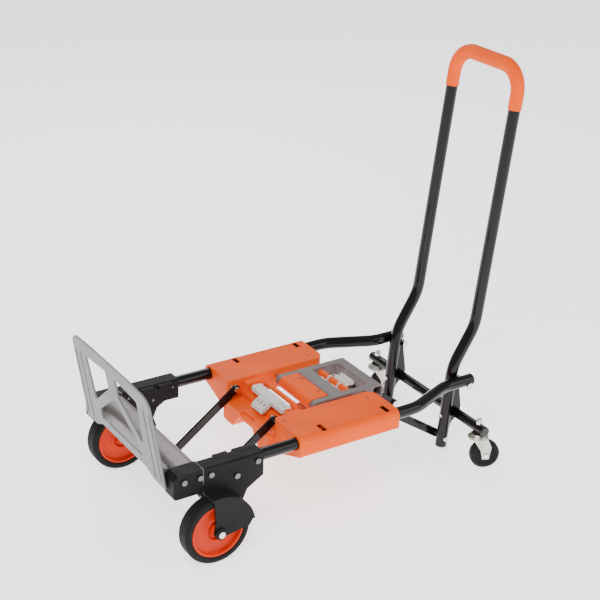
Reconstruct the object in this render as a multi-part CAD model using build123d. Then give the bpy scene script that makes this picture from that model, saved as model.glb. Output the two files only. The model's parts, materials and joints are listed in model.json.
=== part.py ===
from build123d import *
from math import atan2, cos, degrees, hypot, radians, sin, sqrt, tan
import os

# Folding platform cart, in millimetres. Working frame: the floor is z = 0, the front wheel axle is at
# x = 0, +X runs back towards the handle and y = 0 is the cart's mid-plane. At the end every piece is
# moved along X so that the origin is on the floor under the middle of the whole cart.
# "left" is the -Y side and "right" is the +Y side.

SIDES = {"left": -1, "right": 1}

# --- clearances -------------------------------------------------------------------------------
running_gap = 0.05  # radial, between a turning piece and its pin
slip_gap = 0.1  # radial, between a tube and a sleeve that is bolted on to it
side_gap = 1.0  # between pieces that pass beside each other
seam_gap = 0.3  # between two shells or stacked pieces
bolt_r = 3.0
bolt_hole_r = bolt_r + slip_gap

# --- steel tubes --------------------------------------------------------------------------------
tube_r = 14.0
tube_wall = 1.8

# --- side rails -----------------------------------------------------------------------------------
rail_y = 191.0
rail_z = 202.0
rail_rear_y = 142.0
rail_jog_x = 552.0
rail_jog_length = 116.0
rail_bend_r = 110.0
rail_end_x = 747.0

# --- front wheels -----------------------------------------------------------------------------------
front_wheel_r = 78.0
front_wheel_width = 38.0
front_wheel_gap = 2.5
tyre_depth = 16.0
front_axle_r = 5.0
front_hub_boss_r = 15.0

# --- front blocks, brackets and cross channel ---------------------------------------------------------
block_rear_x = -20.0
block_length = 70.0
block_top = 18.0
block_drop = 38.0
block_half_y = 20.0
bracket_length = 146.0
bracket_drop = 30.0
fender_wall = 4.0
fender_gap = 4.0
cover_plate = 5.0
channel_length = 62.0
channel_height = 52.0
channel_wall = 3.0

# --- toe plate -------------------------------------------------------------------------------------------
toe_half_width = 187.0
toe_height = 226.0
toe_thickness = 4.0
toe_lean = 9.5
toe_foot_z = 181.0
toe_corner_r = 28.0
toe_stem_half = 22.0
toe_rib = 18.0
toe_window_outer = 122.0
toe_pin_r = 4.0
toe_fold_limit = 99.5

# --- housings -----------------------------------------------------------------------------------------------
housing_front_x = 222.0
housing_length = 266.0
housing_inner_y = 99.0
housing_outer = 20.0
housing_top = 19.5
housing_drop = 30.0
shell_wall = 3.0
slot_length = 28.0
slot_width = 12.0
screw_head_r = 4.0
screw_sink = 1.5
screw_head_t = 1.2

# --- centre bridge and lever --------------------------------------------------------------------------------
bridge_front_x = 208.0
bridge_length = 100.0
bridge_top_z = 192.0
bridge_front_z = 179.0
bridge_foot_z = 130.0
bridge_middle_z = 165.0
drum_x = 352.0
drum_z = 203.0
drum_r = 15.0
drum_depth = 38.0
lever_half_y = 80.0
lever_arm = 15.0
lever_rear_x = 535.0
lever_depth = 27.0
grip_length = 31.0
grip_depth = 33.0
lever_limit = 35.0
latch_limit = 12.0
pedal_limit = 8.0

# --- handle, legs and casters -----------------------------------------------------------------------------------
leg_y = 112.7
leg_foot_x = 697.0
leg_foot_z = 24.0
leg_bend_low = (715.0, 232.0)
leg_bend_high = (773.0, 328.0)
leg_bend_r = 120.0
handle_lean = 6.7
handle_top_z = 940.0
handle_corner_r = 58.0
grip_start_z = 848.0
grip_wall = 3.6
pivot_x = 734.0
pivot_drop = 8.0
pivot_r = 4.0
bush_r = 7.5
caster_bar_r = 12.0
caster_bar_x = 731.5
caster_bar_z = 105.0
caster_bar_half = 231.0
caster_y = 207.0
caster_wheel_r = 36.0
caster_wheel_width = 24.0
caster_trail = 18.0
caster_stem_r = 5.0
caster_axle_r = 4.0
race_r = 25.0
caster_turn = {"left": -25.0, "right": -12.0}
gusset_t = 5.0
fold_limit = 67.0

# --- links ------------------------------------------------------------------------------------------------------
strut_y = 88.5
strut_t = 10.0
strut_width = 20.0
strut_pin_r = 4.0
strut_low = (697.5, 44.5)
strut_slope = 34.05
strut_pin_x = 505.0
stay_y = 84.0
stay_t = 6.0
stay_width = 19.0
stay_top = (232.0, 207.0)
stay_foot = (47.0, 71.0)
cross_tube_r = 8.0
cross_bend_r = 30.0

# --- carriage track -------------------------------------------------------------------------------------------------
track_height = 14.0
track_half_y = 20.0

# --- values that follow from the ones above ------------------------------------------------------------------------
block_front_x = block_rear_x - block_length
rail_front_x = block_front_x + 6.0
bracket_front_x = block_rear_x + 2.0
bracket_rear_x = bracket_front_x + bracket_length
front_wheel_y = rail_y + block_half_y - 5.0 + front_wheel_width / 2 - side_gap
cover_y = front_wheel_y + front_wheel_width / 2 + front_wheel_gap
fender_r = front_wheel_r + fender_gap
pivot_z = rail_z - pivot_drop
leg_low_tan = (leg_bend_low[0] - leg_foot_x) / (leg_bend_low[1] - leg_foot_z)
handle_top_x = leg_bend_high[0] + (handle_top_z - leg_bend_high[1]) * tan(radians(handle_lean))
block_top_z = rail_z + block_top
block_bottom_z = rail_z - block_drop
bracket_bottom_z = rail_z - bracket_drop
inner_face_y = rail_y - block_half_y
toe_foot_x = block_front_x - 2.0 - toe_thickness
toe_axis_x = block_front_x + 9.0
toe_axis_z = block_top_z - 13.0
housing_rear_x = housing_front_x + housing_length
housing_top_z = rail_z + housing_top
housing_bottom_z = rail_z - housing_drop
housing_outer_y = rail_y + housing_outer
bridge_rear_x = bridge_front_x + bridge_length
strut_pin_z = strut_low[1] + (strut_low[0] - strut_pin_x) * tan(radians(strut_slope))
strut_length = hypot(strut_low[0] - strut_pin_x, strut_pin_z - strut_low[1])
channel_front_x = block_rear_x - channel_length + 12.0
channel_top_z = block_top_z - 1.0

track_top_z = bridge_middle_z
track_front_x = bridge_front_x + 32.0
cross_tube_y = rail_y - 5.0
rail_bolt_x = (
    block_front_x + 25.0,
    block_rear_x - 7.0,
    bracket_front_x + 17.0,
    bracket_rear_x - 15.0,
)
low_bolt = (62.0, rail_z - tube_r - 7.0)
BASE = (Align.CENTER, Align.CENTER, Align.MIN)
keel_length = 100.0
drum_axle_r = 5.0
slot_x = (housing_front_x + 69.0, housing_rear_x - 26.0)
screw_x = (housing_front_x + 14.0, housing_rear_x - 14.0 - 16.0)
screw_y = housing_inner_y + 24.0
pedal_x = 277.0
pedal_z = 209.0
pedal_half = 68.0
pedal_pin_half = pedal_half + side_gap + 5.0
latch_x = drum_x + drum_depth + 65.0
latch_z = drum_z
crossbar_r = 8.0
crossbar_half = lever_half_y - lever_arm + 3.0
track_rear_x = strut_pin_x + 26.0
carriage_rod_half = strut_y - strut_t / 2 - 2.0
race_top_z = caster_bar_z - caster_bar_r - 0.5
crown_z = race_top_z - 9.0 - seam_gap
axle_z = caster_wheel_r
crown_t = 3.0
toe_ear_y = inner_face_y - side_gap - 4.0 - 6.0

parts = {}


# --- small shape helpers ----------------------------------------------------------------------------------------------
def box(x, y, z):
    """A box from its (low, high) pairs along X, Y and Z."""
    size = (x[1] - x[0], y[1] - y[0], z[1] - z[0])
    return Pos((x[0] + x[1]) / 2, (y[0] + y[1]) / 2, (z[0] + z[1]) / 2) * Box(*size)


def mirror_pair(y, s):
    """The (low, high) pair of a Y span given for the right side, on side s."""
    return (y[0], y[1]) if s > 0 else (-y[1], -y[0])


def along_y(x, z, y, r):
    """A round bar along Y between the two values of y."""
    return Pos(x, (y[0] + y[1]) / 2, z) * Rot(90, 0, 0) * Cylinder(r, abs(y[1] - y[0]))


def along_x(y, z, x, r):
    """A round bar along X between the two values of x."""
    return Pos((x[0] + x[1]) / 2, y, z) * Rot(0, 90, 0) * Cylinder(r, abs(x[1] - x[0]))


def along_z(x, y, z, r):
    """A round bar along Z between the two values of z."""
    return Pos(x, y, (z[0] + z[1]) / 2) * Cylinder(r, abs(z[1] - z[0]))


def plate_xz(points, y, thickness):
    """A flat plate in an XZ plane, centred on y."""
    face = Plane.XZ * make_face(Polyline(*points, close=True))
    return Pos(0, y + thickness / 2, 0) * extrude(face, thickness)


def pipe(points, radius, r, wall=0.0):
    """A tube or a solid rod along straight runs joined by arcs."""
    path = FilletPolyline(*points, radius=radius)
    ring = Circle(r) - Circle(r - wall) if wall else Circle(r)
    return sweep(Plane(origin=path @ 0, z_dir=path % 0) * ring, path=path)


def bolt_y(x, z, y_head, y_end, r, head_r, head_t):
    """A bolt along Y: a low round head at y_head and a shank that ends at y_end."""
    way = 1 if y_head > y_end else -1
    head = along_y(x, z, (y_head, y_head + way * head_t), head_r)
    return head + along_y(x, z, (y_head, y_end), r)


def solids_of(*shapes):
    """One node made of separate solids."""
    return Compound(children=[solid for shape in shapes for solid in shape.solids()])


# --- side rails ---------------------------------------------------------------------------------------------------------
def rail(s):
    points = [
        (rail_front_x, s * rail_y, rail_z),
        (rail_jog_x, s * rail_y, rail_z),
        (rail_jog_x + rail_jog_length, s * rail_rear_y, rail_z),
        (rail_end_x, s * rail_rear_y, rail_z),
    ]
    body = pipe(points, rail_bend_r, tube_r, tube_wall)
    span = (s * (rail_rear_y - 2 * tube_r), s * (rail_rear_y + 2 * tube_r))
    body -= along_y(pivot_x, pivot_z, span, pivot_r + slip_gap)
    for x in rail_bolt_x:
        body -= along_y(x, rail_z, (s * (rail_y - 2 * tube_r), s * (rail_y + 2 * tube_r)), bolt_hole_r)
    return body


for side, s in SIDES.items():
    parts[f"rail_{side}"] = rail(s)


# --- caps in the rear ends of the rails ------------------------------------------------------------------------------------
def rail_cap(s):
    plug = along_x(s * rail_rear_y, rail_z, (rail_end_x - 6.0, rail_end_x), tube_r - tube_wall)
    dome = Pos(rail_end_x, s * rail_rear_y, rail_z) * Rot(0, 90, 0) * Cylinder(tube_r, 5.0, align=BASE)
    return plug + fillet(dome.faces().sort_by(Axis.X)[-1].edges(), 3.5)


parts["rail_end_caps"] = solids_of(*[rail_cap(s) for s in SIDES.values()])


# --- front blocks: the square plastic ends that carry the toe plate ----------------------------------------------------------
def front_block(s):
    y = (s * rail_y - block_half_y, s * rail_y + block_half_y)
    body = box((block_front_x, block_rear_x), y, (block_bottom_z, block_top_z))
    front_top = body.edges().filter_by(Axis.Y).sort_by(lambda e: e.center().Z - e.center().X)[-1]
    body = chamfer(front_top, 11.0)
    low_front = body.edges().filter_by(Axis.Y).sort_by(lambda e: -e.center().Z - e.center().X)[-1]
    body = fillet(low_front, 8.0)
    body -= along_x(s * rail_y, rail_z, (rail_front_x, block_rear_x), tube_r + slip_gap)
    inner = s * inner_face_y
    body -= along_y(toe_axis_x, toe_axis_z, (inner, inner + s * 5.0), toe_pin_r)
    for x in rail_bolt_x[:2]:
        body -= along_y(x, rail_z, y, bolt_hole_r)
    return body


# --- wheel brackets: a sleeve on the rail, a web, a fender and the outer wheel cover -----------------------------------------
def wheel_bracket(s):
    y = (s * rail_y - block_half_y, s * rail_y + block_half_y)
    outer = s * (cover_y + cover_plate)
    sleeve = box((bracket_front_x, bracket_rear_x), y, (bracket_bottom_z, block_top_z))
    sleeve = fillet(sleeve.edges().filter_by(Axis.X).group_by(Axis.Z)[-1], 5.0)
    axle_z = front_wheel_r
    web_low = axle_z + fender_r + fender_wall / 2
    web = plate_xz(
        [
            (bracket_front_x + 4.0, bracket_bottom_z + 2.0),
            (bracket_rear_x, bracket_bottom_z + 2.0),
            (bracket_rear_x, bracket_bottom_z - 8.0),
            (fender_r + 6.0, axle_z + 62.0),
            (fender_r - 6.0, axle_z + 34.0),
            (0.0, web_low - 20.0),
            (bracket_front_x, axle_z + fender_r - 4.0),
            (bracket_front_x, web_low),
        ],
        s * (rail_y + block_half_y - 4.0),
        8.0,
    )
    ring = along_y(0, axle_z, (s * (rail_y + block_half_y - 8.0), outer), fender_r + fender_wall)
    wheel_room = along_y(0, axle_z, (s * rail_rear_y, s * (cover_y + cover_plate + 9.0)), fender_r)
    wedge = plate_xz(
        [(0, axle_z), (bracket_front_x, axle_z + 40), (bracket_front_x, axle_z + 160),
         (120, axle_z + 160), (190, axle_z + 26)],
        s * cover_y,
        160.0,
    )
    fender = (ring - wheel_room) & wedge
    cover = plate_xz(
        [
            (-12.0, axle_z + 4.0),
            (-10.0, axle_z + 30.0),
            (-14.0, axle_z + 83.0),
            (20.0, axle_z + 83.0),
            (52.0, axle_z + 66.0),
            (fender_r - 6.0, axle_z + 34.0),
            (fender_r, axle_z + 16.0),
            (fender_r - 10.0, axle_z - 1.0),
            (8.0, axle_z - 11.0),
        ],
        s * (cover_y + cover_plate / 2),
        cover_plate,
    )
    boss = along_y(0, axle_z, (s * cover_y, s * (cover_y + cover_plate + 4.0)), 13.0)
    body = sleeve + (web - wheel_room) + fender + cover + boss
    for x in (bracket_front_x + 45.0, bracket_front_x + 92.0):
        body += box((x, x + 34.0), mirror_pair((inner_face_y - 7.0, inner_face_y + 1.0), s),
                    (block_top_z - 14.0, block_top_z - 2.0))
    body -= along_x(s * rail_y, rail_z, (bracket_front_x, bracket_rear_x), tube_r + slip_gap)
    body -= along_y(0, axle_z, (s * rail_y, outer + s * 9.0), front_axle_r)
    body -= along_z(stay_foot[0], s * cross_tube_y, (bracket_bottom_z - 1, bracket_bottom_z + 12.0),
                    cross_tube_r)
    for x in rail_bolt_x[2:]:
        body -= along_y(x, rail_z, y, bolt_hole_r)
    body -= along_y(low_bolt[0], low_bolt[1], y, bolt_hole_r)
    return body


for side, s in SIDES.items():
    parts[f"front_block_{side}"] = front_block(s)
    parts[f"wheel_bracket_{side}"] = wheel_bracket(s)


def bracket_bolts(s):
    """Bolts through a block or bracket and its rail, and one below the rail, with the heads outboard."""
    outer = rail_y + block_half_y
    for x, z in [(x, rail_z) for x in rail_bolt_x] + [low_bolt]:
        yield bolt_y(x, z, s * outer, s * inner_face_y, bolt_r, 6.5, 4.0)


parts["bracket_bolts"] = solids_of(*[bolt for s in SIDES.values() for bolt in bracket_bolts(s)])


def sleeve_band(s):
    """The steel band over the joint between a front block and its bracket."""
    x = (block_rear_x + 0.2, bracket_front_x - 0.2)
    y = (s * rail_y - block_half_y, s * rail_y + block_half_y)
    band = box(x, y, (rail_z - 20.0, block_top_z))
    return band - along_x(s * rail_y, rail_z, (x[0] - 1, x[1] + 1), tube_r + slip_gap)


parts["sleeve_bands"] = solids_of(*[sleeve_band(s) for s in SIDES.values()])


# --- cross channel between the front blocks ---------------------------------------------------------------------------------
def cross_channel():
    x0, x1 = channel_front_x, channel_front_x + channel_length
    z0, z1 = channel_top_z - channel_height, channel_top_z
    half = inner_face_y
    body = box((x0, x1), (-half, half), (z0, z1))
    tops = body.edges().filter_by(Axis.Y).group_by(Axis.Z)[-1]
    body = fillet(tops.sort_by(Axis.X)[-1], 26.0)
    top_front = body.edges().filter_by(Axis.Y).group_by(Axis.Z)[-1].sort_by(Axis.X)[0]
    body = fillet(top_front, 14.0)
    w = channel_wall
    hollow = box((x0 + w, x1 - w), (-half - 1, half + 1), (z0 - 1, z1 - w))
    hollow_tops = hollow.edges().filter_by(Axis.Y).group_by(Axis.Z)[-1]
    hollow = fillet(hollow_tops.sort_by(Axis.X)[-1], 26.0 - w)
    hollow_front = hollow.edges().filter_by(Axis.Y).group_by(Axis.Z)[-1].sort_by(Axis.X)[0]
    hollow = fillet(hollow_front, 14.0 - w)
    body -= hollow
    for s in SIDES.values():
        body -= along_y(toe_axis_x, toe_axis_z, (s * (half + 1), s * (half - 22.0)), 14.0)
        body -= along_x(s * (half - 42.0), z0 + 14.0, (x0 - 1, x0 + w + 1), 2.5)
    return body


parts["cross_channel"] = cross_channel()


def channel_rivet(s):
    x = channel_front_x
    y = s * (inner_face_y - 42.0)
    z = channel_top_z - channel_height + 14.0
    return along_x(y, z, (x - 2.0, x), 5.0) + along_x(y, z, (x, x + channel_wall + 2.0), 2.5)


parts["channel_rivets"] = solids_of(*[channel_rivet(s) for s in SIDES.values()])


# --- low cross tube and front stays -----------------------------------------------------------------------------------------
def low_cross_tube():
    x, z = stay_foot
    top = bracket_bottom_z + 12.0
    y = cross_tube_y
    body = pipe([(x, -y, top), (x, -y, z), (x, y, z), (x, y, top)], cross_bend_r, cross_tube_r, 1.5)
    for s in SIDES.values():
        body -= along_y(x, z, (s * (stay_y - stay_t / 2 - 0.2), s * (stay_y + stay_t / 2 + 0.2)), 30.0)
    return body


def flat_link(a, b, y, width, thickness, hole_r):
    """A flat bar in an XZ plane with round ends and a hole at each end."""
    length = hypot(b[0] - a[0], b[1] - a[1])
    turn = degrees(atan2(b[1] - a[1], b[0] - a[0]))
    outline = SlotCenterToCenter(length, width) - Pos(-length / 2, 0) * Circle(hole_r)
    outline -= Pos(length / 2, 0) * Circle(hole_r)
    bar = Pos(0, 0, -thickness / 2) * extrude(outline, thickness)
    middle = Pos((a[0] + b[0]) / 2, y, (a[1] + b[1]) / 2)
    return middle * Rot(0, -turn, 0) * Rot(90, 0, 0) * bar


cross_pieces = low_cross_tube().solids().sort_by(Axis.Y)
parts["low_cross_tube"] = solids_of(*cross_pieces)


def front_stay(s):
    return flat_link(stay_top, stay_foot, s * stay_y, stay_width, stay_t, 4.0)


for side, s in SIDES.items():
    parts[f"front_stay_{side}"] = front_stay(s)


def stay_bolt_pair(s):
    inner = s * (stay_y - stay_t / 2 - seam_gap)
    top = bolt_y(stay_top[0], stay_top[1], inner, s * (housing_inner_y + 5.0), 4.0, 6.5, 4.5)
    foot = along_y(stay_foot[0], stay_foot[1], (s * (stay_y - 14.0), s * (stay_y + 14.0)), 4.0)
    return top, foot


parts["stay_bolts"] = solids_of(*[bolt for s in SIDES.values() for bolt in stay_bolt_pair(s)])


# --- housings: an upper and a lower shell round each rail -------------------------------------------------------------------
def housing_block(s, grow=0.0):
    """The housing's outer block, or with a negative grow the hollow inside its wall."""
    x = (housing_front_x - grow, housing_rear_x + grow)
    y = mirror_pair((housing_inner_y - grow, housing_outer_y + grow), s)
    body = box(x, y, (housing_bottom_z - grow, housing_top_z + grow))
    top_outer = body.edges().filter_by(Axis.X).sort_by(lambda e: s * e.center().Y + e.center().Z)[-1]
    body = fillet(top_outer, 16.0 + grow)
    low_outer = body.edges().filter_by(Axis.X).sort_by(lambda e: s * e.center().Y - e.center().Z)[-1]
    body = fillet(low_outer, 8.0 + grow)
    rear_inner = body.edges().filter_by(Axis.Z).sort_by(lambda e: e.center().X - s * e.center().Y)[-1]
    body = fillet(rear_inner, 24.0 + grow)
    front_inner = body.edges().filter_by(Axis.Z).sort_by(lambda e: -e.center().X - s * e.center().Y)[-1]
    return fillet(front_inner, 10.0 + grow)


def housing_rib_x():
    """Where the two saddle ribs inside a housing stand."""
    return (housing_front_x + 0.3 * housing_length, housing_front_x + 0.7 * housing_length)


def plate_yz(points, s, x):
    """A prism along X between the two values of x. Its section is given for the right side, as (|y|, z)."""
    face = Plane.YZ * make_face(Polyline(*[(s * y, z) for y, z in points], close=True))
    return Pos(x[0], 0, 0) * extrude(face, x[1] - x[0], dir=(1, 0, 0))


def housing_keel(s):
    """The sloping underside at the front of a housing, deepest at its inner edge."""
    foot = bridge_foot_z
    section = [
        (housing_outer_y - 9.0, housing_bottom_z),
        (housing_inner_y + 50.0, foot + 22.0),
        (housing_inner_y + 14.0, foot + 6.0),
        (housing_inner_y, foot + 3.0),
        (housing_inner_y, housing_bottom_z),
    ]
    hollow = [
        (housing_outer_y - 26.0, housing_bottom_z + 4.0),
        (housing_inner_y + 49.0, foot + 26.0),
        (housing_inner_y + 13.0, foot + 10.0),
        (housing_inner_y + shell_wall, foot + 7.0),
        (housing_inner_y + shell_wall, housing_bottom_z + 4.0),
    ]
    x = (housing_front_x, housing_front_x + keel_length)
    return plate_yz(section, s, x) - plate_yz(hollow, s, (x[0] + shell_wall, x[1] - shell_wall))


def housing_shell(s, upper):
    hollow = housing_block(s, -shell_wall)
    for x in housing_rib_x():
        hollow -= box((x - 2.0, x + 2.0), (-400, 400), (0, 400))
    body = housing_block(s) - hollow
    split = rail_z
    if not upper:
        body += housing_keel(s)
    if upper:
        half = box((0, 900), (-400, 400), (split + seam_gap / 2, 400))
    else:
        half = box((0, 900), (-400, 400), (0, split - seam_gap / 2))
    body &= half
    body -= along_x(s * rail_y, rail_z, (0, 900), tube_r + slip_gap)
    body -= along_y(stay_top[0], stay_top[1], (s * housing_inner_y, s * (housing_inner_y + 5)), 4.0)
    body -= along_y(drum_x, drum_z, (s * housing_inner_y, s * (housing_inner_y + 5)), drum_axle_r)
    if upper:
        for x in slot_x:
            room = box((x - slot_width / 2, x + slot_width / 2),
                       (s * (rail_y - 4) - slot_length / 2, s * (rail_y - 4) + slot_length / 2),
                       (housing_top_z - shell_wall - 1.0, housing_top_z + 1))
            body -= room
        for x in screw_x:
            body -= along_z(x, s * screw_y, (housing_top_z - shell_wall - 1, housing_top_z + 1), 2.2)
            body -= along_z(x, s * screw_y, (housing_top_z - screw_sink, housing_top_z + 1),
                            screw_head_r + slip_gap)
    return body


for side, s in SIDES.items():
    parts[f"housing_upper_{side}"] = housing_shell(s, True)
    parts[f"housing_lower_{side}"] = housing_shell(s, False)


def housing_screw(x, s):
    """A screw whose head is sunk just below the housing's top face."""
    seat = housing_top_z - screw_sink
    shank = along_z(x, s * screw_y, (housing_top_z - shell_wall - 6.0, seat), 2.2)
    return shank + along_z(x, s * screw_y, (seat, seat + screw_head_t), screw_head_r)


def drum_screw(s):
    """A screw head on top of the hinge drum."""
    z = drum_z + drum_r
    return along_z(drum_x + drum_depth - 8.0, s * 36.0, (z, z + screw_head_t), screw_head_r)


housing_screws = [housing_screw(x, s) for s in SIDES.values() for x in screw_x]
parts["cover_screws"] = solids_of(*housing_screws, *[drum_screw(s) for s in SIDES.values()])


# --- centre bridge between the housings -----------------------------------------------------------------------------------------
def bridge_section(s, top, foot, cut):
    """Half of the bridge's front outline: a foot beside the housing and a raised middle."""
    half = housing_inner_y - seam_gap - cut
    middle = bridge_middle_z + foot
    return [
        (0.0, middle),
        (30.0 + cut, middle),
        (57.0 + cut, bridge_foot_z + foot),
        (84.0, bridge_foot_z + foot),
        (half, bridge_foot_z + foot + 3.0),
        (half, top),
        (0.0, top),
    ]


def centre_bridge():
    front, rear = bridge_front_x, bridge_rear_x
    step_x = front + 48.0
    half = housing_inner_y - seam_gap
    body = None
    for s in SIDES.values():
        piece = plate_yz(bridge_section(s, bridge_top_z, 0.0, 0.0), s, (front, rear))
        room = plate_yz(bridge_section(s, bridge_top_z - shell_wall, shell_wall, shell_wall), s,
                        (front + shell_wall, rear - shell_wall))
        piece -= room & box((front, rear), mirror_pair((30.0, 400.0), s), (0, 400))
        body = piece if body is None else body + piece
    body -= box((front - 1, step_x), (-half - 1, half + 1), (bridge_front_z, 400))
    body += box((front, step_x), (-half, half), (bridge_front_z - shell_wall, bridge_front_z))
    body += box((step_x - shell_wall, step_x), (-half, half), (bridge_front_z - shell_wall, bridge_top_z))
    body -= box((front - 1, front + 14.0), (-24.0, 24.0), (bridge_front_z - 6.0, 400))
    body -= box((step_x - shell_wall - 1, step_x + 4.0), (-24.0, 24.0), (bridge_top_z - 3.0, 400))
    for s in SIDES.values():
        stay_room = mirror_pair((stay_y - stay_t / 2 - side_gap, stay_y + stay_t / 2 + side_gap), s)
        body -= box((front - 1, front + 4.0), stay_room, (bridge_front_z - 4.0, bridge_top_z))
        block = box((front + 52.0, rear - 10.0), mirror_pair((80.0, half), s),
                    (bridge_top_z - 1.0, housing_top_z - 6.0))
        body += fillet(block.edges().filter_by(Axis.X).group_by(Axis.Z)[-1], 3.0)
        post = box((pedal_x - 6, pedal_x + 6), mirror_pair((pedal_pin_half - 5, pedal_pin_half), s),
                   (bridge_top_z - 1.0, pedal_z + 6))
        body += fillet(post.edges().filter_by(Axis.Y).group_by(Axis.Z)[-1], 5.0)
    return body - along_y(pedal_x, pedal_z, (-pedal_pin_half, pedal_pin_half), 2.5)


parts["centre_bridge"] = centre_bridge()


def guard_bar():
    """The bar that stands over the bridge behind the pedal."""
    x = bridge_rear_x - 6.5
    foot = bridge_top_z
    top = housing_top_z - 7.0
    half = 63.0
    points = [(x, -half, foot), (x, -half, top), (x, half, top), (x, half, foot)]
    return pipe(points, 7.0, 6.0)


parts["guard_bar"] = guard_bar()


# --- hinge drum, its axle and the shifter lever ------------------------------------------------------------------------------------
def hinge_drum():
    half = lever_half_y - lever_arm - side_gap
    body = along_y(drum_x, drum_z, (-half, half), drum_r)
    body += box((drum_x, drum_x + drum_depth), (-half, half), (drum_z - drum_r + 4.0, drum_z + drum_r))
    return body - along_y(drum_x, drum_z, (-half - 1, half + 1), drum_axle_r)


parts["hinge_drum"] = hinge_drum()
parts["drum_axle"] = along_y(drum_x, drum_z, (-housing_inner_y - 5.0, housing_inner_y + 5.0), drum_axle_r)


def shifter_lever():
    half = lever_half_y
    z0, z1 = drum_z - lever_depth / 2, drum_z + lever_depth / 2
    body = box((drum_x, lever_rear_x - grip_length / 2), (-half, half), (z0, z1))
    body += along_y(drum_x, drum_z, (-half, half), lever_depth / 2)
    grip = box((lever_rear_x - grip_length, lever_rear_x), (-half, half), (z1 - grip_depth, z1))
    body += fillet(grip.edges().filter_by(Axis.Y), 9.0)
    inner = half - lever_arm
    bar_front = drum_x + drum_depth + 4.0
    bar_rear = bar_front + 34.0
    drum_room = box((drum_x - lever_depth, bar_front), (-inner, inner), (z0 - 1, z1 + 1))
    window = box((bar_rear, lever_rear_x - grip_length), (-inner + 2, inner - 2), (z0 - 1, z1 + 1))
    window = fillet(window.edges().filter_by(Axis.Z), 6.0)
    under = box((bar_front - 1.0, bar_rear - 5.0), (-inner, inner), (z0 - 1, z1 - 6.0))
    body -= drum_room
    body -= window
    body -= under
    wall = 4.0
    grip_hollow = box((lever_rear_x - grip_length + wall, lever_rear_x - wall), (-half - 1, half + 1),
                      (z1 - grip_depth + wall, z1 - wall))
    body -= fillet(grip_hollow.edges().filter_by(Axis.Y), 5.0)
    for s in SIDES.values():
        for x in (drum_x + 26.0, drum_x + 64.0, drum_x + 102.0):
            body -= box((x, x + 32.0), mirror_pair((half - 6.0, half + 1), s), (z0 + 4.0, z1 - 5.0))
    body -= along_y(drum_x, drum_z, (-half - 1, half + 1), drum_axle_r + running_gap)
    return body - along_y(latch_x, latch_z, (-crossbar_half, crossbar_half), crossbar_r)


parts["shifter_lever"] = shifter_lever()


def lever_crossbar():
    """The bar across the lever's window that the latch turns on."""
    return along_y(latch_x, latch_z, (-crossbar_half, crossbar_half), crossbar_r)


def shifter_latch():
    """A two-lobed press tab with a hook round the crossbar at each end."""
    half = 22.0
    body = box((latch_x + crossbar_r, latch_x + 36.0), (-half, half), (latch_z - 3.0, latch_z + 4.0))
    for x in (latch_x + 18.0, latch_x + 32.0):
        body += along_y(x, latch_z + 2.0, (-half, half), 6.5)
    body -= along_y(latch_x, latch_z, (-half - 1, half + 1), crossbar_r + side_gap)
    for s in SIDES.values():
        y = (s * (half - 4.0), s * half)
        hook = along_y(latch_x, latch_z, y, crossbar_r + 3.0)
        hook += box((latch_x, latch_x + 14.0), mirror_pair((half - 4.0, half), s), (latch_z - 3.0, latch_z + 4.0))
        body += hook - along_y(latch_x, latch_z, y, crossbar_r + running_gap)
    return body


parts["lever_crossbar"] = lever_crossbar()
parts["shifter_latch"] = shifter_latch()


# --- pedal on the bridge ---------------------------------------------------------------------------------------------------------------
def pedal():
    """A T-shaped foot pedal: a wide bar on its pin and a tongue that slopes down in front of it."""
    z0, z1 = pedal_z - 5.5, pedal_z + 6.0
    bar = box((pedal_x - 14.0, pedal_x + 13.0), (-pedal_half, pedal_half), (z0, z1))
    bar = fillet(bar.edges().filter_by(Axis.Z), 6.0)
    bar = fillet(bar.edges().group_by(Axis.Z)[-1], 2.0)
    tongue = plate_xz(
        [
            (pedal_x - 12.0, z1),
            (pedal_x - 38.0, z1 - 17.0),
            (pedal_x - 40.0, z1 - 26.0),
            (pedal_x - 33.0, z1 - 26.0),
            (pedal_x - 12.0, z0),
        ],
        0.0,
        46.0,
    )
    body = bar + tongue
    for y in (-14.0, 0.0, 14.0):
        body -= box((pedal_x - 30.0, pedal_x - 22.0), (y - 3.0, y + 3.0), (0, 400))
    for y in (-pedal_half + 8.0, -pedal_half + 18.0, -pedal_half + 28.0):
        body -= box((pedal_x - 6.0, pedal_x + 4.0), (y - 2.5, y + 2.5), (z1 - 3.0, 400))
    return body - along_y(pedal_x, pedal_z, (-pedal_half - 1, pedal_half + 1), 2.5 + running_gap)


parts["pedal"] = pedal()
parts["pedal_pin"] = along_y(pedal_x, pedal_z, (-pedal_pin_half, pedal_pin_half), 2.5)


# --- carriage track and carriage under the lever -------------------------------------------------------------------------------------


def carriage_track():
    z = (track_top_z - track_height, track_top_z)
    body = box((track_front_x, track_rear_x), (-track_half_y, track_half_y), z)
    return body - box((track_front_x - 1, track_rear_x + 1), (-track_half_y + 2.5, track_half_y - 2.5),
                      (z[0] - 1, z[1] - 2.5))


def carriage():
    x = (strut_pin_x - 16.0, strut_pin_x + 16.0)
    gap = 0.5
    outer = track_half_y + 5.0
    z0, z1 = track_top_z - track_height - 4.0, strut_pin_z + 7.0
    body = box(x, (-outer, outer), (z0, z1))
    body -= box((x[0] - 1, x[1] + 1), (-track_half_y - gap, track_half_y + gap),
                (track_top_z - track_height - gap, track_top_z + gap))
    body -= box((x[0] - 1, x[1] + 1), (-track_half_y + 4.0, track_half_y - 4.0),
                (z0 - 1, track_top_z - track_height))
    return body - along_y(strut_pin_x, strut_pin_z, (-outer - 1, outer + 1), 5.0)


parts["carriage_track"] = carriage_track()
parts["carriage"] = carriage()
parts["carriage_rod"] = along_y(strut_pin_x, strut_pin_z, (-carriage_rod_half, carriage_rod_half), 5.0)


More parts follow.
